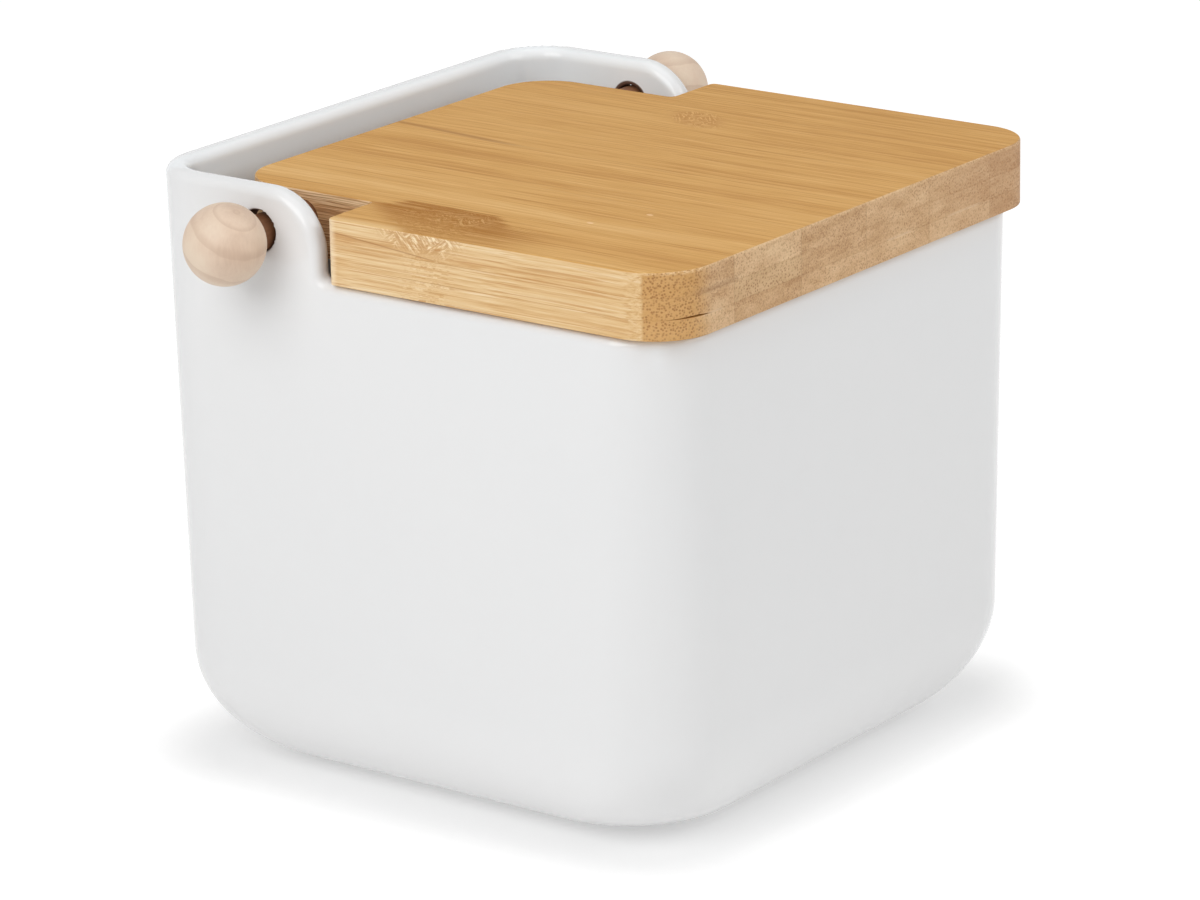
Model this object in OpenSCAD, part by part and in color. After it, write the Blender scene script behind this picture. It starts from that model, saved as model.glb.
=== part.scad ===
// Porcelain salt box with a laminated bamboo lid.
// The lid turns on a wooden dowel that crosses both ears of the box and ends in two ball knobs.
// X runs along the dowel, the low front rim faces -Y, the high back wall faces +Y, and +Z is up.
// The origin lies on the surface that the box stands on, under the middle of the whole outline.

/* [Box] */
// Outside width of the box
box_w = 118; // [100:0.2:160]
// Outside depth of the box
box_d = 116.4; // [100:0.2:160]
// Height of the low rim under the lid
rim_h = 97.4; // [60:0.1:140]
// Thickness of the upright walls
wall_t = 4.4; // [3:0.1:6]
// Thickness of the floor
floor_t = 5; // [3.5:0.1:9]
// Radius of the upright corners at the top, seen from above
corner_r = 12.5; // [9:0.5:20]
// Radius of the upright corners where the walls begin to curve in, seen from above
base_corner_r = 16.5; // [12:0.5:24]
// Radius of the corners of the flat underside, seen from above
foot_corner_r = 22; // [14:0.5:28]
// Reach of the rounding in under the walls
base_reach = 14.5; // [8:0.5:20]
// Height of the rounding under the walls
base_rise = 20; // [8:0.5:30]

/* [Foot ring] */
// Height of the unglazed ring under the box
foot_h = 1; // [0.6:0.1:2.5]
// Width of the ring's standing face
foot_w = 4; // [2.5:0.1:7]
// Step from the rounded underside in to the ring
foot_inset = 1; // [0.5:0.1:3]

/* [Ears] */
// Distance from the back of the box forward to the hinge axis
hinge_setback = 27.8; // [24:0.1:36]
// Radius of the ear's round shoulder
shoulder_r = 11.7; // [10:0.1:14]
// Distance of the shoulder's centre ahead of the hinge axis
shoulder_forward = 1.8; // [1:0.1:4]
// Distance of the shoulder's centre below the hinge axis
shoulder_drop = 3; // [1:0.1:3.5]
// Radius of the hollow where the ear meets the low rim
ear_foot_r = 0.8; // [0.3:0.1:0.9]

/* [Lid] */
// Thickness of the top ply
top_ply_t = 4.6; // [3.8:0.1:7]
// Thickness of the core ply
core_ply_t = 3.9; // [2.5:0.1:6]
// Thickness of the bottom ply
bottom_ply_t = 3.7; // [2.5:0.1:6]
// Reach of the lid past each side of the box
lid_side_overhang = 0.4; // [0:0.1:1.2]
// Reach of the lid past the front of the box
lid_front_overhang = 2.4; // [0:0.1:8]
// Gap between the lid's narrow part and the ear on each side
tail_side_gap = 8.6; // [2:0.1:16]
// Gap between the lid's rear edge and the back wall
tail_back_gap = 6.7; // [3:0.1:12]
// Gap between the nose of the ear and the step where the lid widens
step_gap = 2.8; // [0.9:0.1:6]
// Radius of the lid's front corners
lid_front_r = 11; // [2:0.5:25]
// Radius of the narrow part's rear corners
tail_r = 10.5; // [2:0.5:15]
// Radius of the outer corners of the step
step_outer_r = 1.2; // [0.6:0.1:6]
// Radius of the inner corners of the step
step_inner_r = 1.2; // [0.5:0.1:2]
// Gap between the closed lid and the low rim
lid_gap = 0.2; // [0.05:0.05:0.6]

/* [Hinge pin] */
// Diameter of the dowel
dowel_d = 6.6; // [5:0.1:7.4]
// Depth of the dowel's axis below the lid's upper face
dowel_depth = 5.2; // [4.8:0.1:6.4]
// Space around the dowel in the lid, measured on the radius
lid_bore_clearance = 0.08; // [0.02:0.01:0.1]
// Space around the dowel in the ears, measured on the radius
ear_play = 0.5; // [0.4:0.05:1.5]
// Least gap under the dowel, which hangs low in its ear holes
dowel_low_gap = 0.1; // [0.1:0.05:0.4]
// Diameter of the ball knob at each end
knob_d = 15; // [14:0.5:22]
// Gap between each knob and the ear beside it
knob_gap = 1.6; // [1.2:0.1:5]
// Depth of the dowel's socket in each knob
socket_depth = 9; // [5:0.5:10]
// Glue line around the dowel's end, and behind it
glue_t = 0.05; // [0.02:0.01:0.1]

/* [Hidden] */

// Heights
lid_t = top_ply_t + core_ply_t + bottom_ply_t;
lid_bottom_z = rim_h + lid_gap;
lid_top_z = lid_bottom_z + lid_t;
hinge_z = lid_top_z - dowel_depth;
ear_top_z = hinge_z - shoulder_drop + shoulder_r;

// Places along Y
box_y = lid_front_overhang / 2;
box_back_y = box_y + box_d / 2;
box_front_y = box_y - box_d / 2;
hinge_y = box_back_y - hinge_setback;
shoulder_y = hinge_y - shoulder_forward;
ear_nose_y = shoulder_y - shoulder_r;
step_y = ear_nose_y - step_gap;
lid_front_y = box_front_y - lid_front_overhang;
tail_back_y = box_back_y - wall_t - tail_back_gap;

// Places along X
lid_w = box_w + 2 * lid_side_overhang;
tail_w = box_w - 2 * (wall_t + tail_side_gap);
knob_x = box_w / 2 + knob_gap + knob_d / 2;
knob_inner_x = knob_x - sqrt(pow(knob_d / 2, 2) - pow(dowel_d / 2, 2));
dowel_end_x = knob_inner_x + socket_depth;

// Holes for the dowel
lid_bore_r = dowel_d / 2 + lid_bore_clearance;
ear_hole_r = dowel_d / 2 + ear_play;
ear_hole_z = hinge_z + ear_play - dowel_low_gap;
socket_r = dowel_d / 2 + glue_t;

// Fineness of curves, and a margin that carries cuts past a face
round_fn = 96;
hull_fn = 32;
base_steps = 7;
margin = 1;
skin = 0.01;

porcelain = [0.93, 0.93, 0.94];
bamboo = [0.82, 0.64, 0.41];
bamboo_core = [0.76, 0.58, 0.37];
maple = [0.89, 0.77, 0.64];
dowel_wood = [0.78, 0.62, 0.45];

// Thin slab with round corners, as one level of a hull
module level(w, d, r, z) {
  for (x = [-1, 1], y = [-1, 1])
    translate([x * (w / 2 - r), y * (d / 2 - r), z])
      cylinder(r = r, h = skin, $fn = hull_fn);
}

// Round-cornered tub whose walls curve in towards a flat bottom.
// The three corner radii belong to the bottom, the start of the curve and the top.
module tub(w, d, low_z, high_z, reach, rise, bottom_r, low_corner_r, high_corner_r) {
  hull() {
    for (i = [0 : base_steps])
      let (a = 90 * i / base_steps, inset = 1 - cos(a))
        level(w - 2 * reach * inset, d - 2 * reach * inset,
              low_corner_r + (bottom_r - low_corner_r) * inset,
              low_z + rise * (1 - sin(a)));
    level(w, d, high_corner_r, high_z - skin);
  }
}

// Side view of the box: low rim, hollow, round shoulder and high back
module side_outline() {
  translate([box_front_y - margin, 0])
    square([box_d + 2 * margin, rim_h]);
  translate([shoulder_y, hinge_z - shoulder_drop])
    circle(r = shoulder_r, $fn = round_fn);
  translate([shoulder_y, rim_h - margin])
    square([box_back_y + margin - shoulder_y, ear_top_z - rim_h + margin]);
  translate([ear_nose_y, rim_h - margin])
    square([shoulder_r, hinge_z - shoulder_drop - rim_h + margin]);
  difference() {
    translate([ear_nose_y - ear_foot_r, rim_h - margin])
      square([ear_foot_r + margin, margin + ear_foot_r]);
    translate([ear_nose_y - ear_foot_r, rim_h + ear_foot_r])
      circle(r = ear_foot_r, $fn = round_fn);
  }
}

// Flat plate with four round corners
module rounded_plate(w, d, r, h) {
  linear_extrude(height = h)
    difference() {
      square([w, d], center = true);
      for (x = [0, 1], y = [0, 1])
        mirror([x, 0]) mirror([0, y])
          translate([w / 2, d / 2]) corner_waste(r);
    }
}

// What a round corner leaves outside it, for a corner at the origin that points to +X +Y
module corner_waste(r) {
  difference() {
    translate([-r, -r])
      square(r + margin);
    translate([-r, -r])
      circle(r = r, $fn = round_fn);
  }
}

// Ring that the box stands on
module foot_ring() {
  ring_w = box_w - 2 * (base_reach + foot_inset);
  ring_d = box_d - 2 * (base_reach + foot_inset);
  ring_r = foot_corner_r - foot_inset;
  difference() {
    rounded_plate(ring_w, ring_d, ring_r, foot_h + floor_t / 2);
    translate([0, 0, -margin])
      rounded_plate(ring_w - 2 * foot_w, ring_d - 2 * foot_w, ring_r - foot_w, foot_h + margin);
  }
}

// Fired porcelain box with its floor, walls, raised back, ears and foot ring
module salt_box() {
  color(porcelain) {
    difference() {
      intersection() {
        translate([0, box_y, 0])
          difference() {
            tub(box_w, box_d, foot_h, ear_top_z, base_reach, base_rise,
                foot_corner_r, base_corner_r, corner_r);
            tub(box_w - 2 * wall_t, box_d - 2 * wall_t, foot_h + floor_t, ear_top_z + margin,
                base_reach - wall_t, base_rise - wall_t,
                foot_corner_r - wall_t, base_corner_r - wall_t, corner_r - wall_t);
          }
        translate([-box_w / 2 - margin, 0, 0])
          rotate([90, 0, 90])
            linear_extrude(height = box_w + 2 * margin) side_outline();
      }
      translate([-box_w / 2 - margin, hinge_y, ear_hole_z])
        rotate([0, 90, 0])
          cylinder(r = ear_hole_r, h = box_w + 2 * margin, $fn = round_fn);
    }
    translate([0, box_y, 0]) foot_ring();
  }
}

// Outline of the lid from above: wide in front, narrow between the ears
module lid_outline() {
  difference() {
    union() {
      translate([-lid_w / 2, lid_front_y])
        square([lid_w, step_y - lid_front_y]);
      translate([-tail_w / 2, step_y - margin])
        square([tail_w, tail_back_y - step_y + margin]);
    }
    for (side = [0, 1])
      mirror([side, 0]) {
        translate([lid_w / 2, lid_front_y]) mirror([0, 1]) corner_waste(lid_front_r);
        translate([lid_w / 2, step_y]) corner_waste(step_outer_r);
        translate([tail_w / 2, tail_back_y]) corner_waste(tail_r);
      }
  }
  for (side = [0, 1])
    mirror([side, 0])
      difference() {
        translate([tail_w / 2 - margin, step_y - margin])
          square(margin + step_inner_r);
        translate([tail_w / 2 + step_inner_r, step_y + step_inner_r])
          circle(r = step_inner_r, $fn = round_fn);
      }
}

// One layer of the laminated lid, drilled for the dowel
module ply(bottom_z, thickness) {
  difference() {
    translate([0, 0, bottom_z])
      linear_extrude(height = thickness) lid_outline();
    translate([-tail_w / 2 - margin, hinge_y, hinge_z])
      rotate([0, 90, 0])
        cylinder(r = lid_bore_r, h = tail_w + 2 * margin, $fn = round_fn);
  }
}

// Lower face layer of the lid
module lid_bottom_ply() {
  color(bamboo) ply(lid_bottom_z, bottom_ply_t);
}

// Middle layer of the lid, which the drilling parts behind the hinge
module lid_core_ply() {
  color(bamboo_core) ply(lid_bottom_z + bottom_ply_t, core_ply_t);
}

// Upper face layer of the lid
module lid_top_ply() {
  color(bamboo) ply(lid_bottom_z + bottom_ply_t + core_ply_t, top_ply_t);
}

// Dowel through both ears and the lid
module hinge_dowel() {
  color(dowel_wood)
    translate([-dowel_end_x, hinge_y, hinge_z])
      rotate([0, 90, 0])
        cylinder(d = dowel_d, h = 2 * dowel_end_x, $fn = round_fn);
}

// Half section of a knob, with the dowel's axis upwards and the ball's centre at the origin
module knob_section() {
  difference() {
    intersection() {
      circle(d = knob_d, $fn = round_fn);
      translate([0, -knob_d])
        square([knob_d, 2 * knob_d]);
    }
    translate([-margin, -knob_d])
      square([margin + socket_r, knob_d + dowel_end_x + glue_t - knob_x]);
  }
}

// Turned ball with a blind socket that faces the ear, for the +X side
module knob() {
  color(maple)
    translate([knob_x, hinge_y, hinge_z])
      rotate([0, 90, 0])
        rotate_extrude($fn = round_fn) knob_section();
}

// Knob at the dowel's left end
module left_knob() {
  mirror([1, 0, 0]) knob();
}

// Knob at the dowel's right end
module right_knob() {
  knob();
}

salt_box();
lid_top_ply();
lid_core_ply();
lid_bottom_ply();
hinge_dowel();
left_knob();
right_knob();
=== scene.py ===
import math

import bpy
import numpy as np
from mathutils import Matrix, Vector


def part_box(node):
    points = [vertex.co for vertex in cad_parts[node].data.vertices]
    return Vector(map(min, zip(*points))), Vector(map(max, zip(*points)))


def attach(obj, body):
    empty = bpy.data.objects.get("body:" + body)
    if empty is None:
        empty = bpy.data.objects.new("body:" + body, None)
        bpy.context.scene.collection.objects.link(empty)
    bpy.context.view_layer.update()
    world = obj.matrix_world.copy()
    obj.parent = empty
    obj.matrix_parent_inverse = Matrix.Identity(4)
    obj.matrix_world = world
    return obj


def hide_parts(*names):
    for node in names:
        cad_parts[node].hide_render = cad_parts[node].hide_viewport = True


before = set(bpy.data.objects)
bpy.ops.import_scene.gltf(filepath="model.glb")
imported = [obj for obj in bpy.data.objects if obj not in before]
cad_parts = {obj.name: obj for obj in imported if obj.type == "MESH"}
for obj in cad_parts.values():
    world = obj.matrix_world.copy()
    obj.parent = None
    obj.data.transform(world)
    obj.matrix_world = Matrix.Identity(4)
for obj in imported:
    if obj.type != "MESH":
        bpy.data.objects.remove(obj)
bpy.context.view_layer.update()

MM = 0.001

# Camera of the photograph, found by fitting the box, the lid and the knobs
PHOTO_WIDTH = 1200
FOCAL_PX = 5445.1
SENSOR_MM = 36
CAMERA_AT = (-778.45, -573.64, 358.04)
CAMERA_AZIMUTH = -53.608
CAMERA_ELEVATION = 17.465
CAMERA_ROLL = -1.072

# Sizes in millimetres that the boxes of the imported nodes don't give. Porcelain box:
WALL = 4.4
FLOOR_T = 5.0
FOOT_H = 1.0
FOOT_W = 4.0
FOOT_INSET = 1.0
CORNER_R = 12.5
BASE_CORNER_R = 16.5
FOOT_CORNER_R = 22.0
BASE_REACH = 14.5
BASE_RISE = 20.0
RIM_Z = 97.4
SHOULDER = (29.8, 101.6)
SHOULDER_R = 11.7
EAR_FOOT_R = 1.6
HINGE = (31.6, 104.6)
EAR_HOLE_Z = 105.0
EAR_HOLE_R = 3.8
RIM_ROUND = 2.0
HOLE_ROUND = 0.45
FOOT_ROUND = 0.5

# The far hole lies closer round the dowel, so that little daylight shows over it
FAR_HOLE_Z = 104.75
FAR_HOLE_R = 3.5

# Lid
STEP_Y = 15.3
TAIL_HALF_W = 46.0
LID_FRONT_R = 11.0
TAIL_R = 10.5
STEP_OUTER_R = 1.2
STEP_INNER_R = 1.2
LID_BORE_R = 3.38
LID_TOP_EASE = 0.4
LID_LOW_EASE = 0.15
PLY_EASE = 0.06
EASE_STEPS = 4
BORE_OVERRUN = 5
BORE_SIDES = 96

# Open stretch of the lower glue line: outline as x and height over that line, and ends along Y
OPEN_SEAM = ((-56.4, -0.3), (-48.2, -0.3), (-48.2, 0.03), (-51.2, 0.38), (-52.8, 0.34),
             (-56.4, 0.03))
OPEN_SEAM_ENDS = (-61, -55)

# Dowel and balls; a socket's mouth is eased along X and outward
TURNED_SIDES = 72
DOWEL_CHAMFER = 0.4
GLUE_GAP = 0.05
SOCKET_EASE = (0.2, 0.25)
BALL_RINGS = 40

# Bamboo: number of the middle ply, width of the strips, and centres of the marks
CORE_PLY = 1
STRIP_W = 20.5
LEFT_JOINT_AT = (-51.5, -3.0)
RIGHT_JOINT_AT = (34.0, 1.0)
PALE_FIBRES_AT = (-47.5, -6.0)
SPECKS_AT = ((-37.2, -26.1), (-27.2, -31.8))

# Dark patch beside the left growth joint: its right edge as points (y, x), and their ranges
PATCH_EDGE = ((-30.76, -47.25), (-16.18, -47.0), (-9.16, -42.25), (0.56, -41.5), (9.2, -42.0),
              (16.22, -46.75))
PATCH_Y = (-34.0, 20.0)
PATCH_X = (-56.0, -31.0)

# Floor round the box
FLOOR_CORNER_R = 18.0
FLOOR_REACH = 6000

# Area lamps in metres and watts: name, place, point it faces, size, power
LAMPS = (("key", (-0.88, -0.02, 0.72), (0, 0, 0.06), (0.8, 0.8), 6.1),
         ("fill", (0.42, -0.92, 0.65), (0, 0, 0.06), (0.8, 0.8), 3.9),
         ("overhead", (0, 0, 1.35), (0, 0, 0), (1.2, 1.2), 2.4))
WORLD_LIGHT = 0.36


def node_box(name):
    low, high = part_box(name)
    return np.array(low) / MM, np.array(high) / MM


BOX_LOW, BOX_HIGH = node_box("salt_box")
HALF_W = (BOX_HIGH[0] - BOX_LOW[0]) / 2
HALF_D = (BOX_HIGH[1] - BOX_LOW[1]) / 2
BOX_Y = (BOX_HIGH[1] + BOX_LOW[1]) / 2
EAR_TOP = BOX_HIGH[2]
LOW_GLUE_Z, HIGH_GLUE_Z = (end[2] for end in node_box("lid_core_ply"))
LID_TOP_Z = node_box("lid_top_ply")[1][2]


# Mesh helpers

def new_object(name, mesh):
    made = bpy.data.objects.new(name, mesh)
    bpy.context.scene.collection.objects.link(made)
    return made


def mesh_from(name, points, faces):
    mesh = bpy.data.meshes.new(name)
    faces = [list(map(int, face)) for face in faces]
    mesh.from_pydata((np.asarray(points) * MM).tolist(), [], faces)
    mesh.validate()
    mesh.update()
    return mesh


def smooth_max(a, b, r):
    """Larger of two distances, with a round edge of radius r where they meet"""
    u, v = np.maximum(a + r, 0), np.maximum(b + r, 0)
    return np.where((u > 0) & (v > 0), np.hypot(u, v) - r, np.maximum(a, b))


def smooth_min(a, b, r):
    return -smooth_max(-a, -b, r)


def corner_field(p, q):
    """Distance to a square corner where p and q are the distances to its two sides"""
    return np.hypot(np.maximum(p, 0), np.maximum(q, 0)) + np.minimum(np.maximum(p, q), 0)


def plate(x, y, half_w, half_d, r):
    """Distance to a rectangle with round corners"""
    return corner_field(x - half_w + r, y - half_d + r) - r


def tub(x, y, z, half_w, half_d, low_z, reach, rise, bottom_r, low_r, high_r, high_z):
    """Distance-like field of a round-cornered tub whose walls curve in at the bottom"""
    turn_z = low_z + rise
    share = np.clip((z - turn_z) / (high_z - turn_z), 0, 1)
    upright = plate(x, y, half_w, half_d, low_r + (high_r - low_r) * share)
    grow = (bottom_r - low_r) / reach
    p, q = x - half_w + low_r, y - half_d + low_r
    a = 2 * (1 + grow) ** 2 - grow ** 2
    b = 2 * (1 + grow) * (p + q) - 2 * grow * low_r
    c = p * p + q * q - low_r ** 2
    corner = (np.sqrt(np.maximum(b * b - 4 * a * c, 0)) - b) / (2 * a)
    on_corner = (p + (1 + grow) * corner > 0) & (q + (1 + grow) * corner > 0)
    inset = np.where(on_corner, corner, low_r - np.maximum(p, q))
    u, v = np.maximum(1 - inset / reach, 0), np.maximum((turn_z - z) / rise, 0)
    size = np.hypot(u, v)
    curved = (size - 1) * size / np.maximum(np.hypot(u / reach, v / rise), 1e-6)
    curved = np.where(size > 1e-5, curved, -min(reach, rise))
    return np.where(z < turn_z, curved, upright)


def box_field(points):
    """Below zero inside the porcelain"""
    x, y, z = np.abs(points[..., 0]), points[..., 1], points[..., 2]
    depth = np.abs(y - BOX_Y)
    outer = tub(x, depth, z, HALF_W, HALF_D, FOOT_H, BASE_REACH, BASE_RISE,
                FOOT_CORNER_R, BASE_CORNER_R, CORNER_R, EAR_TOP)
    inner = tub(x, depth, z, HALF_W - WALL, HALF_D - WALL, FOOT_H + FLOOR_T,
                BASE_REACH - WALL, BASE_RISE - WALL,
                FOOT_CORNER_R - WALL, BASE_CORNER_R - WALL, CORNER_R - WALL, EAR_TOP + 1)
    raised = corner_field(SHOULDER[0] - y, z - SHOULDER[1]) - SHOULDER_R
    side = smooth_min(z - RIM_Z, raised, EAR_FOOT_R)
    shell = smooth_max(smooth_max(outer, side, RIM_ROUND), -inner, RIM_ROUND)

    far = points[..., 0] > 0
    hole_z = np.where(far, FAR_HOLE_Z, EAR_HOLE_Z)
    hole = np.hypot(y - HINGE[0], z - hole_z) - np.where(far, FAR_HOLE_R, EAR_HOLE_R)
    shell = smooth_max(shell, -hole, HOLE_ROUND)

    ring_w = HALF_W - BASE_REACH - FOOT_INSET
    ring_d = HALF_D - BASE_REACH - FOOT_INSET
    band = plate(x, depth, ring_w, ring_d, FOOT_CORNER_R - FOOT_INSET)
    band = np.abs(band + FOOT_W / 2) - FOOT_W / 2
    ring = smooth_max(band, np.maximum(-z, z - FOOT_H - FLOOR_T / 2), FOOT_ROUND)
    return smooth_min(shell, ring, FOOT_ROUND)


def slope(field, points, step=0.01):
    """Direction in which a field grows, by differences"""
    parts = []
    for axis in range(3):
        shift = np.zeros(3)
        shift[axis] = step
        parts.append((field(points + shift) - field(points - shift)) / (2 * step))
    return np.stack(parts, -1)


def settle(field, points, times=4, farthest=0.6):
    """Moves points onto the zero level of a field"""
    for _ in range(times):
        rise = slope(field, points)
        size = np.maximum((rise ** 2).sum(-1), 0.05)
        points = points - rise * np.clip(field(points) / size, -farthest, farthest)[:, None]
    return points


def surface_net(field, xs, ys, zs):
    """Quads round the zero level of a field on a grid with uneven steps"""
    grid = np.stack(np.meshgrid(xs, ys, zs, indexing="ij"), -1)
    value = field(grid)
    inside = value < 0

    def cell_part(a, corner):
        return a[tuple(slice(c, n - 1 + c) for c, n in zip(corner, inside.shape))]

    corners = [(i, j, k) for i in (0, 1) for j in (0, 1) for k in (0, 1)]
    count = sum(cell_part(inside, c).astype(int) for c in corners)
    active = (count > 0) & (count < 8)
    number = np.full(active.shape, -1)
    number[active] = np.arange(active.sum())
    total, hits = np.zeros((active.sum(), 3)), np.zeros(active.sum())
    for low in corners:
        for axis in range(3):
            if low[axis]:
                continue
            high = tuple(1 if n == axis else c for n, c in enumerate(low))
            a, b = cell_part(value, low)[active], cell_part(value, high)[active]
            start, end = cell_part(grid, low)[active], cell_part(grid, high)[active]
            cross = (a < 0) != (b < 0)
            share = (a[cross] / (a[cross] - b[cross]))[:, None]
            total[cross] += start[cross] + (end[cross] - start[cross]) * share
            hits[cross] += 1
    points = total / hits[:, None]
    faces = []
    for axis in range(3):
        u, v = (axis + 1) % 3, (axis + 2) % 3
        low = [slice(None)] * 3
        high = [slice(None)] * 3
        low[axis], high[axis] = slice(0, -1), slice(1, None)
        a, b = inside[tuple(low)], inside[tuple(high)]
        spots = np.argwhere(a != b)
        ring = []
        for du, dv in ((-1, -1), (0, -1), (0, 0), (-1, 0)):
            cell = spots.copy()
            cell[:, u] += du
            cell[:, v] += dv
            ring.append(number[tuple(cell.T)])
        quads = np.stack(ring, 1)
        leaves = a[tuple(spots.T)]
        faces.append(np.where(leaves[:, None], quads, quads[:, ::-1]))
    return settle(field, points), np.concatenate(faces)


def steps(*stops):
    """Grid lines from pairs of start and step, up to the start of the last pair"""
    lines = []
    for (start, step), (end, _) in zip(stops, stops[1:]):
        n = max(1, round((end - start) / step))
        lines.extend(np.linspace(start, end, n, endpoint=False))
    lines.append(stops[-1][0])
    return np.array(lines)


def give_normals(mesh, field):
    """Smooth shading with the normals of the exact surface"""
    points = np.zeros(len(mesh.vertices) * 3)
    mesh.vertices.foreach_get("co", points)
    rise = slope(field, points.reshape(-1, 3) / MM)
    rise /= np.linalg.norm(rise, axis=1)[:, None]
    mesh.shade_smooth()
    mesh.normals_split_custom_set_from_vertices(rise.tolist())


# Porcelain box

def make_box():
    """Box meshed on a grid that is fine at the corners, the rims and the ear holes"""
    half = steps((0, 4), (16, 2), (34, 1.4), (41, 1.0), (61, 1))
    rear = steps((BOX_Y, 2), (15.2, 0.9), (26.7, 0.4), (36.5, 0.9), (61.1, 1))
    xs = np.concatenate([-half[:0:-1], half])
    ys = np.concatenate([BOX_Y - half[:0:-1], rear])
    zs = steps((-1.0, 0.5), (2.0, 0.8), (7, 1.0), (21, 1.5), (27, 4), (91, 1.5), (94, 0.7),
               (100.2, 0.4), (109.8, 0.7), (114.3, 1))
    mesh = mesh_from("porcelain_box", *surface_net(box_field, xs, ys, zs))
    made = new_object("porcelain_box", mesh)
    give_normals(mesh, box_field)
    return made


# Bamboo lid

def lid_outline(lid_half_w, front_y, back_y):
    """Points round the lid from above, counter-clockwise, alike on both sides"""
    def arc(cx, cy, r, start, end, n):
        angles = np.radians(np.linspace(start, end, n + 1))
        return [(cx + r * math.cos(a), cy + r * math.sin(a)) for a in angles]

    front_at = (lid_half_w - LID_FRONT_R, front_y + LID_FRONT_R)
    outer_at = (lid_half_w - STEP_OUTER_R, STEP_Y - STEP_OUTER_R)
    inner_at = (TAIL_HALF_W + STEP_INNER_R, STEP_Y + STEP_INNER_R)
    tail_at = (TAIL_HALF_W - TAIL_R, back_y - TAIL_R)
    right = arc(*front_at, LID_FRONT_R, -90, 0, 24)
    right += arc(*outer_at, STEP_OUTER_R, 0, 90, 10)
    right += arc(*inner_at, STEP_INNER_R, 270, 180, 6)
    right += arc(*tail_at, TAIL_R, 0, 90, 20)
    left = [(-x, y) for x, y in reversed(right)]
    return np.array(right + left)


def outline_normals(outline):
    ahead = np.roll(outline, -1, 0) - outline
    ahead /= np.linalg.norm(ahead, axis=1)[:, None]
    turned = np.stack([ahead[:, 1], -ahead[:, 0]], 1)
    both = turned + np.roll(turned, 1, 0)
    return both / (1 + (turned * np.roll(turned, 1, 0)).sum(1))[:, None]


def slab(outline, low_z, high_z, low_ease, high_ease):
    """Points and faces of a plate with eased edges"""
    normals = outline_normals(outline)
    levels = [(low_z + low_ease * (1 - math.sin(a)), low_ease * (1 - math.cos(a)))
              for a in np.linspace(math.pi / 2, 0, EASE_STEPS + 1)]
    levels += [(high_z - high_ease * (1 - math.sin(a)), high_ease * (1 - math.cos(a)))
               for a in np.linspace(0, math.pi / 2, EASE_STEPS + 1)]
    rings = [np.column_stack([outline - normals * d, np.full(len(outline), z)])
             for z, d in levels]
    n = len(outline)
    faces = [list(range(n))[::-1], [(len(levels) - 1) * n + i for i in range(n)]]
    for k in range(len(levels) - 1):
        for i in range(n):
            j = (i + 1) % n
            faces.append([k * n + i, k * n + j, (k + 1) * n + j, (k + 1) * n + i])
    return np.concatenate(rings), faces


def lathe(profile, count, axis_at):
    """Surface turned about a line along X: profile gives (x, radius), radius 0 only at the ends"""
    points, rows = [], []
    for x, r in profile:
        if r < 1e-9:
            rows.append([len(points)])
            points.append((x, axis_at[0], axis_at[1]))
            continue
        row = []
        for i in range(count):
            a = 2 * math.pi * i / count
            row.append(len(points))
            points.append((x, axis_at[0] + r * math.cos(a), axis_at[1] + r * math.sin(a)))
        rows.append(row)
    faces = []
    for low, high in zip(rows, rows[1:]):
        for i in range(count):
            j = (i + 1) % count
            face = [low[i % len(low)], low[j % len(low)], high[j % len(high)], high[i % len(high)]]
            faces.append([p for n, p in enumerate(face) if p != face[n - 1]])
    return np.array(points), faces


def apply_modifiers(target):
    bpy.context.view_layer.update()
    graph = bpy.context.evaluated_depsgraph_get()
    fresh = bpy.data.meshes.new_from_object(target.evaluated_get(graph))
    target.modifiers.clear()
    target.data = fresh


def cut(target, cutters):
    """Takes the cutters out of a piece and removes them from the scene"""
    for cutter in cutters:
        modifier = target.modifiers.new("cut", "BOOLEAN")
        modifier.operation = "DIFFERENCE"
        modifier.solver = "EXACT"
        modifier.object = cutter
    apply_modifiers(target)
    for cutter in cutters:
        bpy.data.objects.remove(cutter)


def weigh_normals(target, angle=35):
    """Smooth shading that stays flat on flat faces and sharp at edges over the angle"""
    target.data.shade_smooth()
    target.data.set_sharp_from_angle(angle=math.radians(angle))
    modifier = target.modifiers.new("normals", "WEIGHTED_NORMAL")
    modifier.mode = "FACE_AREA"
    modifier.weight = 100
    modifier.keep_sharp = True
    apply_modifiers(target)


def open_seam():
    """Wedge that opens the lower glue line beside the lid's left front corner"""
    points = [(x, y, LOW_GLUE_Z + rise) for y in OPEN_SEAM_ENDS for x, rise in OPEN_SEAM]
    n = len(OPEN_SEAM)
    faces = [list(range(n)), list(range(2 * n - 1, n - 1, -1))]
    faces += [[i, i + n, (i + 1) % n + n, (i + 1) % n] for i in range(n)]
    return new_object("wedge", mesh_from("wedge", points, faces))


def make_ply(name, node, low_ease, high_ease, outline, extra=()):
    """One ply of the lid, with the drilling for the dowel and any extra cutters taken out"""
    low, high = node_box(node)
    mesh = mesh_from(name, *slab(outline, low[2], high[2], low_ease, high_ease))
    made = new_object(name, mesh)
    reach = TAIL_HALF_W + BORE_OVERRUN
    profile = [(-reach, 0), (-reach, LID_BORE_R), (reach, LID_BORE_R), (reach, 0)]
    bore = new_object("bore", mesh_from("bore", *lathe(profile, BORE_SIDES, HINGE)))
    cut(made, [bore, *extra])
    weigh_normals(made)
    return made


# Node helpers

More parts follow.
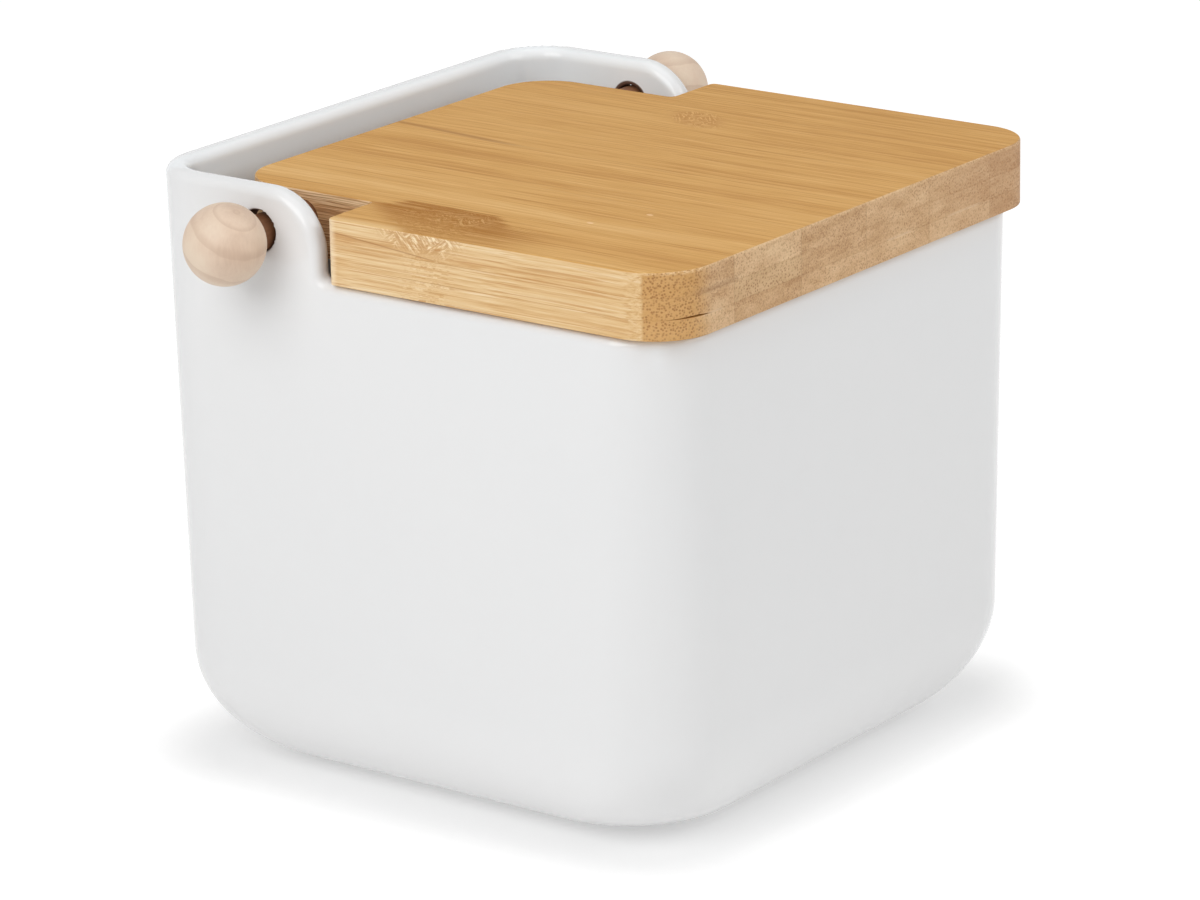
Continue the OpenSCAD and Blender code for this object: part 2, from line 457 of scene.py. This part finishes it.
class Shader:
    """A material's nodes, with short names for the few kinds that are used"""

    def __init__(self, name):
        self.material = bpy.data.materials.new(name)
        self.material.use_nodes = True
        self.nodes = self.material.node_tree.nodes
        self.links = self.material.node_tree.links
        self.nodes.clear()
        self.bsdf = self.nodes.new("ShaderNodeBsdfPrincipled")
        self.out = self.nodes.new("ShaderNodeOutputMaterial")
        self.links.new(self.bsdf.outputs[0], self.out.inputs["Surface"])
        coordinates = self.nodes.new("ShaderNodeTexCoord")
        self.normal = coordinates.outputs["Normal"]
        self.point = self.vector("SCALE", coordinates.outputs["Object"], scale=1 / MM)

    def put(self, socket, value):
        if isinstance(value, bpy.types.NodeSocket):
            self.links.new(value, socket)
        else:
            socket.default_value = value

    def set(self, **values):
        for name, value in values.items():
            self.put(self.bsdf.inputs[name.replace("_", " ")], value)

    # Vectors

    def vector(self, operation, a, b=None, scale=None):
        node = self.nodes.new("ShaderNodeVectorMath")
        node.operation = operation
        self.put(node.inputs[0], a)
        if b is not None:
            self.put(node.inputs[1], b)
        if scale is not None:
            self.put(node.inputs["Scale"], scale)
        return node.outputs["Value" if operation in ("LENGTH", "DOT_PRODUCT") else "Vector"]

    def split(self, vector):
        node = self.nodes.new("ShaderNodeSeparateXYZ")
        self.put(node.inputs[0], vector)
        return node.outputs[0], node.outputs[1], node.outputs[2]

    def join(self, x, y, z):
        node = self.nodes.new("ShaderNodeCombineXYZ")
        for socket, value in zip(node.inputs, (x, y, z)):
            self.put(socket, value)
        return node.outputs[0]

    # Arithmetic

    def math(self, operation, *values):
        node = self.nodes.new("ShaderNodeMath")
        node.operation = operation
        for socket, value in zip(node.inputs, values):
            self.put(socket, value)
        return node.outputs[0]

    def plus(self, first, *others):
        for value in others:
            first = self.math("ADD", first, value)
        return first

    def times(self, first, *others):
        for value in others:
            first = self.math("MULTIPLY", first, value)
        return first

    def less(self, a, b):
        return self.math("SUBTRACT", a, b)

    def hypot(self, u, v):
        return self.math("SQRT", self.plus(self.times(u, u), self.times(v, v)))

    # Shares from 0 to 1

    def ease(self, value, low, high, to_low=0.0, to_high=1.0):
        """Smooth step from one value to another"""
        node = self.nodes.new("ShaderNodeMapRange")
        node.interpolation_type = "SMOOTHSTEP"
        self.put(node.inputs["Value"], value)
        node.inputs["From Min"].default_value = low
        node.inputs["From Max"].default_value = high
        node.inputs["To Min"].default_value = to_low
        node.inputs["To Max"].default_value = to_high
        return node.outputs["Result"]

    def between(self, value, low, high, soft):
        """Full between two values, with soft edges"""
        return self.times(self.ease(value, low - soft, low + soft),
                          self.ease(value, high + soft, high - soft))

    def oval(self, u, v, wide, long, core=0.4):
        """Full in the core of an oval and nothing at its rim"""
        u, v = self.math("DIVIDE", u, wide), self.math("DIVIDE", v, long)
        return self.ease(self.hypot(u, v), 1.0, core)

    # Textures

    def noise(self, vector, scale, detail=2.0, roughness=0.5, distortion=0.0):
        node = self.nodes.new("ShaderNodeTexNoise")
        self.put(node.inputs["Vector"], vector)
        node.inputs["Scale"].default_value = scale
        node.inputs["Detail"].default_value = detail
        node.inputs["Roughness"].default_value = roughness
        node.inputs["Distortion"].default_value = distortion
        return node.outputs["Fac"]

    def cells(self, vector, scale, randomness):
        node = self.nodes.new("ShaderNodeTexVoronoi")
        self.put(node.inputs["Vector"], vector)
        node.inputs["Scale"].default_value = scale
        node.inputs["Randomness"].default_value = randomness
        return node.outputs["Distance"]

    def chance(self, value):
        node = self.nodes.new("ShaderNodeTexWhiteNoise")
        node.noise_dimensions = "1D"
        self.put(node.inputs["W"], value)
        return node.outputs["Value"]

    # Colours

    def mix(self, share, a, b):
        node = self.nodes.new("ShaderNodeMix")
        node.data_type = "RGBA"
        node.clamp_factor = True
        self.put(node.inputs[0], share)
        self.put(node.inputs[6], a)
        self.put(node.inputs[7], b)
        return node.outputs[2]

    def tint(self, base, share, strength, *display):
        """Lays a display colour over a base, where share says and as strongly as strength"""
        return self.mix(self.times(share, strength), base, srgb(*display))

    def ramp(self, value, *stops):
        node = self.nodes.new("ShaderNodeValToRGB")
        self.put(node.inputs[0], value)
        elements = node.color_ramp.elements
        while len(elements) < len(stops):
            elements.new(0.5)
        for element, (position, colour) in zip(elements, stops):
            element.position = position
            element.color = colour
        return node.outputs["Color"]

    def curve(self, value, points, ends, heights):
        """Value that runs straight between points, which lie in the ranges ends and heights"""
        def share(number, span):
            return (number - span[0]) / (span[1] - span[0])

        stops = [(share(at, ends), grey(share(height, heights))) for at, height in points]
        value = self.math("DIVIDE", self.less(value, ends[0]), ends[1] - ends[0])
        return self.plus(self.times(self.ramp(value, *stops), heights[1] - heights[0]), heights[0])

    def bump(self, height, distance):
        node = self.nodes.new("ShaderNodeBump")
        node.inputs["Strength"].default_value = 1.0
        node.inputs["Distance"].default_value = distance
        self.put(node.inputs["Height"], height)
        self.links.new(node.outputs[0], self.bsdf.inputs["Normal"])


def srgb(r, g, b):
    """Display colour 0 to 255 as the linear colour that a node takes"""
    def one(c):
        c /= 255
        return c / 12.92 if c <= 0.04045 else ((c + 0.055) / 1.055) ** 2.4
    return (one(r), one(g), one(b), 1.0)


def grey(value):
    return (value, value, value, 1.0)


# Materials

def porcelain():
    """White gloss glaze, with painted light that makes it lighter low down and inside the rim, and
    painted shade in the ear holes
    """
    s = Shader("glazed_porcelain")
    x, y, z = s.split(s.point)
    wave = s.noise(s.point, 0.035)
    peel = s.noise(s.point, 0.5)
    s.bump(s.plus(wave, s.times(peel, 0.02)), 0.0004)
    # Painted light inside the rim: the glaze there is lighter and cooler
    past_x = s.less(s.math("ABSOLUTE", x), HALF_W)
    past_y = s.less(s.math("ABSOLUTE", s.less(y, BOX_Y)), HALF_D)
    inside = s.ease(s.math("MAXIMUM", past_x, past_y), -0.45 * WALL, -0.9 * WALL)
    inside = s.times(inside, s.ease(z, RIM_Z - 8, RIM_Z + 2))
    colour = s.mix(s.noise(s.point, 0.02), (0.812, 0.816, 0.82, 1), (0.824, 0.825, 0.824, 1))
    # Painted light from the floor: the glaze is lighter towards the bottom
    colour = s.mix(s.ease(z, 24.0, 5.0), colour, grey(0.895))
    colour = s.mix(inside, colour, (0.905, 0.935, 0.955, 1))
    # Painted shade in the ear holes: dark brown and matt there
    bore = s.hypot(s.less(y, HINGE[0]), s.less(z, EAR_HOLE_Z))
    hole_shade = s.ease(bore, EAR_HOLE_R + 0.4, EAR_HOLE_R + 0.1)
    colour = s.mix(hole_shade, colour, srgb(96, 68, 54))
    s.set(Base_Color=colour, Roughness=s.plus(0.1, s.times(hole_shade, 0.6)), IOR=1.5)
    return s.material


def biscuit():
    """Bare porcelain of the face that the box stands on"""
    s = Shader("unglazed_porcelain")
    grain = s.noise(s.point, 3.0, 4.0, 0.6)
    s.set(Base_Color=s.mix(grain, srgb(214, 211, 205), srgb(228, 226, 221)), Roughness=0.65)
    s.bump(grain, 0.00004)
    return s.material


class Bamboo(Shader):
    """Laminated bamboo: long grain along Y on flat and side faces, fibre dots on the ends.
    At the growth joints of the culm the fibres are short and tangled."""

    def __init__(self, name, ply):
        super().__init__(name)
        self.ply = ply
        x, y, z = self.x, self.y, self.z = self.split(self.point)
        ny, nz = (self.math("ABSOLUTE", n) for n in self.split(self.normal)[1:])

        left_joint = self.growth_joint(LEFT_JOINT_AT, 0.3, 9.5, 13.0)
        self.right_joint = self.growth_joint(RIGHT_JOINT_AT, 0.35, 6.5, 9.0)
        self.side_joint = self.oval(self.plus(y, 5.5), self.less(z, 110.2), 12.0, 5.0, 0.5)
        tangle = self.math("MAXIMUM", left_joint, self.times(self.right_joint, 0.6))
        self.lay_grain(tangle)

        # Painted highlight on the step's outer corner, glue lines, golden left corner, and dots of
        # cut fibres
        self.step_highlight = self.times(self.ease(y, 13.0, 14.6), self.ease(x, -56.5, -58.2))
        self.seam = self.math("MAXIMUM", *(self.between(z, at - 0.08, at + 0.08, 0.08)
                                           for at in (LOW_GLUE_Z, HIGH_GLUE_Z)))
        self.golden = self.ease(x, -47.0, -53.0)
        dots_at = self.join(x, self.times(y, 0.9), self.times(z, 0.95))
        self.dot = self.ease(self.cells(dots_at, 2.1, 0.8), 0.56, 0.16)

        colour = self.mix(self.ease(nz, 0.85, 0.45), self.flat_face(), self.side_face())
        on_end = self.times(self.ease(ny, 0.34, 0.40), self.less(1.0, self.step_highlight))
        colour = self.mix(on_end, colour, self.end_face())
        chips = self.noise(self.join(x, y, self.times(z, 2.0)), 1.3, 3.0, 0.65)
        chips = self.times(self.ease(chips, 0.46, 0.58),
                           self.plus(0.4, self.times(self.golden, 0.35)))
        arris = self.times(self.ease(z, LID_TOP_Z - 0.8, LID_TOP_Z - 0.2),
                           self.ease(nz, 0.98, 0.86), on_end)
        colour = self.tint(colour, arris, self.plus(0.08, chips), 238, 206, 160)
        self.set(Base_Color=colour, Roughness=self.ease(self.tone, 0.35, 0.65, 0.68, 0.58),
                 IOR=1.45, Specular_IOR_Level=0.28)
        height = self.plus(self.times(self.fine, 0.5), self.times(self.threads, -0.4),
                           self.times(self.dot, on_end, -0.7),
                           self.times(self.cross, tangle, 0.4))
        self.bump(height, 0.00006)

    def growth_joint(self, at, lean, wide, long):
        """Leaning oval round a growth joint on the lid's top"""
        v = self.less(self.y, at[1])
        return self.oval(self.less(self.less(self.x, at[0]), self.times(v, lean)), v, wide, long)

    def streaks(self, across, along, detail, roughness):
        """Noise drawn out along the grain, with its scales per millimetre"""
        vector = self.join(self.times(self.grain_x, across), self.times(self.y, along),
                           self.times(self.grain_z, across))
        return self.noise(vector, 1.0, detail, roughness)

    def fibres(self, turn, seed):
        """Short fibres that lie turned from the grain, on the top and the sides alike"""
        b = self.plus(self.x, self.z)
        u = self.plus(self.times(self.y, math.cos(turn)), self.times(b, math.sin(turn)))
        v = self.plus(self.times(b, math.cos(turn)), self.times(self.y, -math.sin(turn)))
        return self.noise(self.join(self.times(u, 0.42), self.times(v, 2.4), seed),
                          1.0, 3.0, 0.65, 0.7)

    def lay_grain(self, tangle):
        """Grain at several scales, the strips that the board is glued from, and crossing fibres"""
        wander = self.noise(self.join(self.x, self.times(self.y, 0.35), self.z), 0.05)
        twist = self.noise(self.point, 0.45, 2.0, 0.6)
        shift = self.plus(self.times(self.less(wander, 0.5), 2.0),
                          self.times(self.less(twist, 0.5), 4.0, tangle))
        self.grain_x = self.plus(self.x, shift)
        self.grain_z = self.plus(self.z, self.times(shift, 0.35), self.ply * 31.7)
        self.fine = self.streaks(4.4, 0.07, 3.0, 0.65)
        self.medium = self.streaks(1.5, 0.022, 3.0, 0.6)
        broad = self.streaks(0.16, 0.006, 2.0, 0.5)
        self.threads = self.ease(self.streaks(2.6, 0.022, 2.0, 0.5), 0.58, 0.72)

        across = self.math("DIVIDE", self.x, STRIP_W)
        strip = self.math("FLOOR", across)
        self.strip_tone = self.less(self.chance(self.plus(strip, 10.5 + 7.3 * self.ply)), 0.5)
        off_middle = self.math("ABSOLUTE", self.less(self.math("FRACT", across), 0.5))
        self.strip_edge = self.ease(off_middle, 0.5 - 0.16 / STRIP_W, 0.5 - 0.05 / STRIP_W)
        self.tone = self.plus(self.times(self.fine, 0.40), self.times(self.medium, 0.34),
                              self.times(broad, 0.24), self.times(self.strip_tone, 0.05))

        which = self.ease(self.noise(self.point, 0.30, 1.0), 0.48, 0.52)
        self.cross = self.plus(self.times(self.fibres(0.8, 3.0), which),
                               self.times(self.fibres(-0.55, 9.0), self.less(1.0, which)))

    def dark_patch(self):
        """Ragged dark patch round the left growth joint"""
        edge = self.curve(self.y, PATCH_EDGE, PATCH_Y, PATCH_X)
        ragged = self.plus(self.times(self.less(self.medium, 0.5), 9.0),
                           self.times(self.less(self.fine, 0.5), 5.0))
        at = self.plus(self.x, ragged)
        past = self.less(edge, at)
        before = self.less(at, self.plus(self.times(self.less(self.y, 15.9), 0.82), -46.2))
        share = self.times(self.ease(past, -0.8, 1.6), self.ease(before, -3.0, 4.0),
                           self.ease(self.y, -34.0, -8.0), self.ease(past, 14.0, 2.0, 0.55, 1.0))
        grainy = self.plus(self.times(self.fine, 0.6), self.times(self.medium, 0.4))
        return self.times(share, self.plus(0.52, self.times(self.ease(grainy, 0.62, 0.40), 0.8)))

    def specks(self):
        share = 0.0
        flat_y = self.times(self.y, 0.6)
        for x, y in SPECKS_AT:
            off = self.vector("SUBTRACT", self.join(self.x, flat_y, 0.0), (x, 0.6 * y, 0.0))
            share = self.plus(share, self.ease(self.vector("LENGTH", off), 0.5, 0.3))
        return share

    def flat_face(self):
        x, y = self.x, self.y
        flat = self.ramp(self.tone, (0.38, srgb(195, 142, 75)), (0.465, srgb(211, 160, 89)),
                         (0.53, srgb(219, 170, 100)), (0.62, srgb(230, 186, 120)))
        flat = self.tint(flat, self.threads, 0.3, 180, 125, 60)
        flat = self.tint(flat, self.dark_patch(), 1.0, 165, 107, 28)
        rubbed = self.times(self.ease(x, -56.6, -58.9), self.ease(y, -3.0, 2.0))
        flat = self.tint(flat, rubbed, 0.55, 238, 204, 150)
        streak = self.between(self.plus(x, self.times(y, -0.101)), -2.6, -1.3, 0.7)
        flat = self.tint(flat, self.times(streak, self.ease(y, 11.0, 27.0)), 0.6, 156, 102, 46)

        bright = self.ease(self.cross, 0.50, 0.60)
        pale = self.oval(self.less(x, PALE_FIBRES_AT[0]), self.less(y, PALE_FIBRES_AT[1]), 6.0, 9.0)
        flat = self.tint(flat, self.times(pale, bright), 0.5, 226, 182, 118)
        flat = self.tint(flat, self.right_joint, 0.55, 184, 126, 58)
        flat = self.tint(flat, self.times(self.right_joint, bright), 0.75, 234, 190, 124)
        flat = self.tint(flat, self.strip_edge, 0.2, 150, 102, 54)
        return self.tint(flat, self.specks(), 0.8, 244, 206, 158)

    def side_face(self):
        x, y, z = self.x, self.y, self.z
        side = self.ramp(self.tone, (0.39, srgb(207, 161, 107)), (0.46, srgb(226, 190, 139)),
                         (0.53, srgb(235, 205, 158)), (0.61, srgb(245, 222, 185)))
        lines = self.ease(self.streaks(3.0, 0.014, 2.0, 0.6), 0.54, 0.66)
        side = self.tint(side, lines, 0.7, 196, 140, 84)
        side = self.tint(side, self.ease(y, 10.0, -50.0), 0.3, 222, 180, 120)
        dark, light = self.ease(self.cross, 0.60, 0.40), self.ease(self.cross, 0.52, 0.66)
        side = self.tint(side, self.times(self.side_joint, dark), 0.65, 190, 136, 80)
        side = self.tint(side, self.times(self.side_joint, light), 0.75, 253, 234, 198)
        brown = self.less(z, self.plus(self.times(y, 0.085), 106.2))
        brown = self.times(self.between(brown, -0.12, 0.12, 0.08), self.ease(y, -11.0, -5.0))
        side = self.tint(side, brown, 0.6, 172, 120, 72)

        # Left side of the tail beside the ear: painted shade of the ear, deepest low down, over a
        # darker and streakier wood tone; pale streaks near its top, partly wood grain and partly
        # painted light
        ear_shade = self.times(self.ease(y, 14.4, 15.4), self.ease(x, -43.0, -45.0))
        shaded_tail_wood = self.ramp(self.fine, (0.38, srgb(124, 76, 40)), (0.50, srgb(188, 132, 86)),
                         (0.62, srgb(232, 188, 142)))
        low = self.ease(z, LID_TOP_Z, 106.5, 0.45, 0.85)
        side = self.mix(self.times(ear_shade, low), side, shaded_tail_wood)
        light = self.times(ear_shade, self.ease(z, 107.6, 109.2), self.ease(self.fine, 0.44, 0.56))
        side = self.tint(side, light, 0.6, 242, 212, 174)

        # Painted highlight down the step's round outer corner
        side = self.tint(side, self.step_highlight, 0.6, 250, 230, 196)
        return self.tint(side, self.seam, 0.25, 196, 146, 92)

    def glue(self):
        """Glue that shows on the lower line at the front, and beside the open seam at its left"""
        x, z = self.x, self.z
        right = self.plus(self.between(x, 6.7, 14.5, 0.8), self.between(x, 27.1, 37.3, 1.2))
        right = self.times(self.between(z, LOW_GLUE_Z - 0.18, LOW_GLUE_Z + 0.18, 0.12), right)
        left = self.times(self.between(z, LOW_GLUE_Z - 0.15, LOW_GLUE_Z + 0.2, 0.1),
                          self.between(x, -50.5, -44.8, 1.0))
        return self.plus(right, left)

    def end_face(self):
        x, y, z = self.x, self.y, self.z
        smear = self.join(self.times(x, 0.35), self.times(y, 0.5), self.times(z, 1.1))
        smear = self.noise(smear, 0.4, 3.0, 0.55)
        pepper = self.noise(self.point, 3.4, 2.0, 0.6)
        tone = self.plus(self.times(smear, 0.38), self.times(pepper, 0.42),
                         self.times(self.strip_tone, 0.13))
        end = self.ramp(tone, (0.26, srgb(190, 148, 104)), (0.40, srgb(216, 178, 135)),
                        (0.54, srgb(232, 199, 156)))
        bright = self.times(self.between(x, -41.0, -20.5, 0.6), float(self.ply == CORE_PLY))
        end = self.tint(end, bright, 0.45, 222, 190, 146)
        end = self.tint(end, self.ease(x, 12.0, 56.0), 0.45, 190, 146, 110)
        end = self.tint(end, self.golden, 0.75, 210, 160, 94)

        dense = self.noise(self.join(self.times(x, 0.4), 3.1 * self.ply, z), 0.30)
        depth = self.plus(0.30, self.times(self.ease(dense, 0.38, 0.60), 0.22),
                          self.times(bright, 0.2), self.times(self.golden, 0.22))
        end = self.tint(end, self.dot, depth, 150, 98, 54)
        end = self.tint(end, self.strip_edge, 0.25, 140, 98, 60)
        end = self.tint(end, self.glue(), 0.6, 238, 208, 170)
        end = self.tint(end, self.seam, 0.16, 150, 108, 72)
        shade = self.times(self.between(x, -52.0, -40.0, 2.5), self.between(z, 105.0, 106.1, 0.5))
        return self.tint(end, shade, 0.35, 150, 112, 78)


def dowel_wood():
    s = Shader("dowel_hardwood")
    x, y, z = s.split(s.point)
    grain = s.noise(s.join(s.times(x, 0.1), y, z), 0.9, 3.0, 0.55)
    # Darker than the wood's own brown: partly its tone, partly painted shade of the holes it sits
    # in
    s.set(Base_Color=s.ramp(grain, (0.3, srgb(112, 70, 44)), (0.7, srgb(140, 94, 60))),
          Roughness=0.6)
    s.bump(grain, 0.00004)
    return s.material


def knob_wood(name, centre, pole):
    """Turned pale hardwood with faint growth rings round a line through the ball"""
    s = Shader(name)
    local = s.vector("SUBTRACT", s.point, centre)
    along = s.vector("DOT_PRODUCT", local, pole)
    off = s.vector("SUBTRACT", local, s.vector("SCALE", pole, scale=along))
    wander = s.less(s.noise(s.point, 0.10), 0.5)
    radius = s.plus(s.vector("LENGTH", off), s.times(wander, 1.4))
    ring = s.math("FRACT", s.math("DIVIDE", s.less(radius, 0.7), 3.25))
    line = s.times(s.ease(ring, 0.70, 0.96), s.ease(ring, 1.0, 0.97))
    fibre = s.noise(s.vector("MULTIPLY", local, (1.0, 1.0, 0.16)), 2.2, 4.0, 0.6)
    cloud = s.noise(s.point, 0.11)
    colour = s.ramp(s.plus(s.times(fibre, 0.2), s.times(cloud, 0.8)),
                    (0.36, srgb(212, 186, 164)), (0.5, srgb(224, 200, 178)),
                    (0.64, srgb(230, 210, 188)))
    s.set(Base_Color=s.tint(colour, line, 0.3, 190, 158, 134), Roughness=0.55,
          Specular_IOR_Level=0.35)
    s.bump(fibre, 0.00003)
    return s.material


# Pieces

box = make_box()
box.data.materials.append(porcelain())
box.data.materials.append(biscuit())
for face in box.data.polygons:
    if face.center.z < 0.45 * MM:
        face.material_index = 1
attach(box, "box")
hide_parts("salt_box")

lid_low, lid_high = node_box("lid_top_ply")
outline = lid_outline(lid_high[0], lid_low[1], lid_high[1])
for name, node, low_ease, high_ease, ply, slot in (
        ("lid_upper_layer", "lid_top_ply", PLY_EASE, LID_TOP_EASE, 2, "bamboo_face"),
        ("lid_middle_layer", "lid_core_ply", PLY_EASE, PLY_EASE, CORE_PLY, "bamboo_core"),
        ("lid_lower_layer", "lid_bottom_ply", LID_LOW_EASE, PLY_EASE, 0, "bamboo_face")):
    extra = [open_seam()] if ply == CORE_PLY else []
    piece = make_ply(name, node, low_ease, high_ease, outline, extra)
    piece.data.materials.clear()
    piece.data.materials.append(Bamboo("bamboo_" + name, ply).material)
    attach(piece, "lid")
    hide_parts(node)

dowel_low, dowel_high = node_box("hinge_dowel")
dowel_r = (dowel_high[2] - dowel_low[2]) / 2
end_x = dowel_high[0]
profile = [(-end_x, 0), (-end_x, dowel_r - DOWEL_CHAMFER), (-end_x + DOWEL_CHAMFER, dowel_r),
           (end_x - DOWEL_CHAMFER, dowel_r), (end_x, dowel_r - DOWEL_CHAMFER), (end_x, 0)]
dowel = new_object("dowel_rod", mesh_from("dowel_rod", *lathe(profile, TURNED_SIDES, HINGE)))
weigh_normals(dowel, 50)
dowel.data.materials.append(dowel_wood())
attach(dowel, "hinge_pin")
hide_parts("hinge_dowel")

for name, node, side, pole in (("ball_left", "left_knob", -1, (-0.08, -0.47, 0.88)),
                               ("ball_right", "right_knob", 1, (0.3, 0.5, 0.81))):
    low, high = node_box(node)
    ball_r = (high[2] - low[2]) / 2
    ball_x = max(abs(low[0]), abs(high[0])) - ball_r
    socket_x = end_x + GLUE_GAP - ball_x
    socket_r = dowel_r + GLUE_GAP
    start = math.asin((socket_r + SOCKET_EASE[1]) / ball_r)
    profile = [(socket_x, 0), (socket_x, socket_r)]
    profile += [(-ball_r * math.cos(start) + SOCKET_EASE[0], socket_r)]
    profile += [(-ball_r * math.cos(a), max(ball_r * math.sin(a), 0))
                for a in np.linspace(start, math.pi, BALL_RINGS)]
    profile[-1] = (ball_r, 0)
    points, faces = lathe([(side * (ball_x + u), r) for u, r in profile], TURNED_SIDES, HINGE)
    if side < 0:
        faces = [f[::-1] for f in faces]
    ball = new_object(name, mesh_from(name, points, faces))
    weigh_normals(ball, 45)
    pole = tuple(Vector(pole).normalized())
    ball.data.materials.append(knob_wood("wood_" + name, (side * ball_x, *HINGE), pole))
    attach(ball, "hinge_pin")
    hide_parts(node)


# Floor, world and lamps

def studio():
    """World that lights softly, and shows white to camera, glossy and transmission rays"""
    world = bpy.data.worlds.new("studio")
    bpy.context.scene.world = world
    world.use_nodes = True
    nodes, links = world.node_tree.nodes, world.node_tree.links
    nodes.clear()
    path = nodes.new("ShaderNodeLightPath")
    shown = path.outputs["Is Camera Ray"]
    for kind in ("Is Transmission Ray", "Is Glossy Ray"):
        either = nodes.new("ShaderNodeMath")
        either.operation = "MAXIMUM"
        links.new(shown, either.inputs[0])
        links.new(path.outputs[kind], either.inputs[1])
        shown = either.outputs[0]
    mix = nodes.new("ShaderNodeMixShader")
    links.new(shown, mix.inputs[0])
    for socket, strength in ((mix.inputs[1], WORLD_LIGHT), (mix.inputs[2], 1.0)):
        light = nodes.new("ShaderNodeBackground")
        light.inputs["Color"].default_value = grey(1.0)
        light.inputs["Strength"].default_value = strength
        links.new(light.outputs[0], socket)
    out = nodes.new("ShaderNodeOutputWorld")
    links.new(mix.outputs[0], out.inputs["Surface"])


def lamp(name, at, aim, size, power):
    data = bpy.data.lights.new(name, "AREA")
    data.shape = "RECTANGLE"
    data.size, data.size_y = size
    data.energy = power
    made = new_object(name, data)
    made.location = at
    made.rotation_mode = "QUATERNION"
    made.rotation_quaternion = (Vector(aim) - Vector(at)).to_track_quat("-Z", "Y")


def floor_material():
    """Pale floor that fades to clear white away from the box; to the camera and in reflections it
    glows less near the box, a painted shadow round the base
    """
    s = Shader("pale_floor")
    x, y, _ = s.split(s.point)
    path = s.nodes.new("ShaderNodeLightPath")
    seen = s.math("MAXIMUM", path.outputs["Is Camera Ray"], path.outputs["Is Glossy Ray"])
    past_x = s.less(s.math("ABSOLUTE", x), HALF_W - FLOOR_CORNER_R)
    past_y = s.less(s.math("ABSOLUTE", s.less(y, BOX_Y)), HALF_D - FLOOR_CORNER_R)
    away = s.hypot(s.math("MAXIMUM", past_x, 0.0), s.math("MAXIMUM", past_y, 0.0))
    away = s.less(away, FLOOR_CORNER_R)
    s.set(Base_Color=s.mix(seen, grey(0.92), grey(0.45)), Roughness=0.9, Specular_IOR_Level=0.0)
    glow = s.nodes.new("ShaderNodeEmission")
    # Glow that is weaker close to the box: painted shadow round the base
    s.put(glow.inputs["Strength"], s.times(seen, s.ease(away, -4.0, 18.0, 0.49, 0.76)))
    both = s.nodes.new("ShaderNodeAddShader")
    s.links.new(s.bsdf.outputs[0], both.inputs[0])
    s.links.new(glow.outputs[0], both.inputs[1])
    s.links.new(both.outputs[0], s.out.inputs["Surface"])
    return s.material


studio()
corners = [(x * FLOOR_REACH, y * FLOOR_REACH, 0) for x, y in ((-1, -1), (1, -1), (1, 1), (-1, 1))]
floor = new_object("floor", mesh_from("floor", corners, [(0, 1, 2, 3)]))
floor.data.materials.append(floor_material())
for settings in LAMPS:
    lamp(*settings)

# Camera
azimuth, elevation = math.radians(CAMERA_AZIMUTH), math.radians(CAMERA_ELEVATION)
back = Vector((math.sin(azimuth) * math.cos(elevation), -math.cos(azimuth) * math.cos(elevation),
               math.sin(elevation)))
right = (-back).cross(Vector((0, 0, 1))).normalized()
up = back.cross(right)
turn = math.radians(CAMERA_ROLL)
right, up = (right * math.cos(turn) + up * math.sin(turn),
             up * math.cos(turn) - right * math.sin(turn))
lens = bpy.data.cameras.new("photo_camera")
lens.sensor_fit = "HORIZONTAL"
lens.sensor_width = SENSOR_MM
lens.lens = SENSOR_MM * FOCAL_PX / PHOTO_WIDTH
lens.dof.use_dof = False
lens.clip_start, lens.clip_end = 0.05, 50
camera = new_object("photo_camera", lens)
facing = Matrix((right, up, back)).transposed().to_4x4()
camera.matrix_world = Matrix.Translation(Vector(CAMERA_AT) * MM) @ facing
bpy.context.scene.camera = camera
bpy.context.scene.view_settings.view_transform = "Standard"
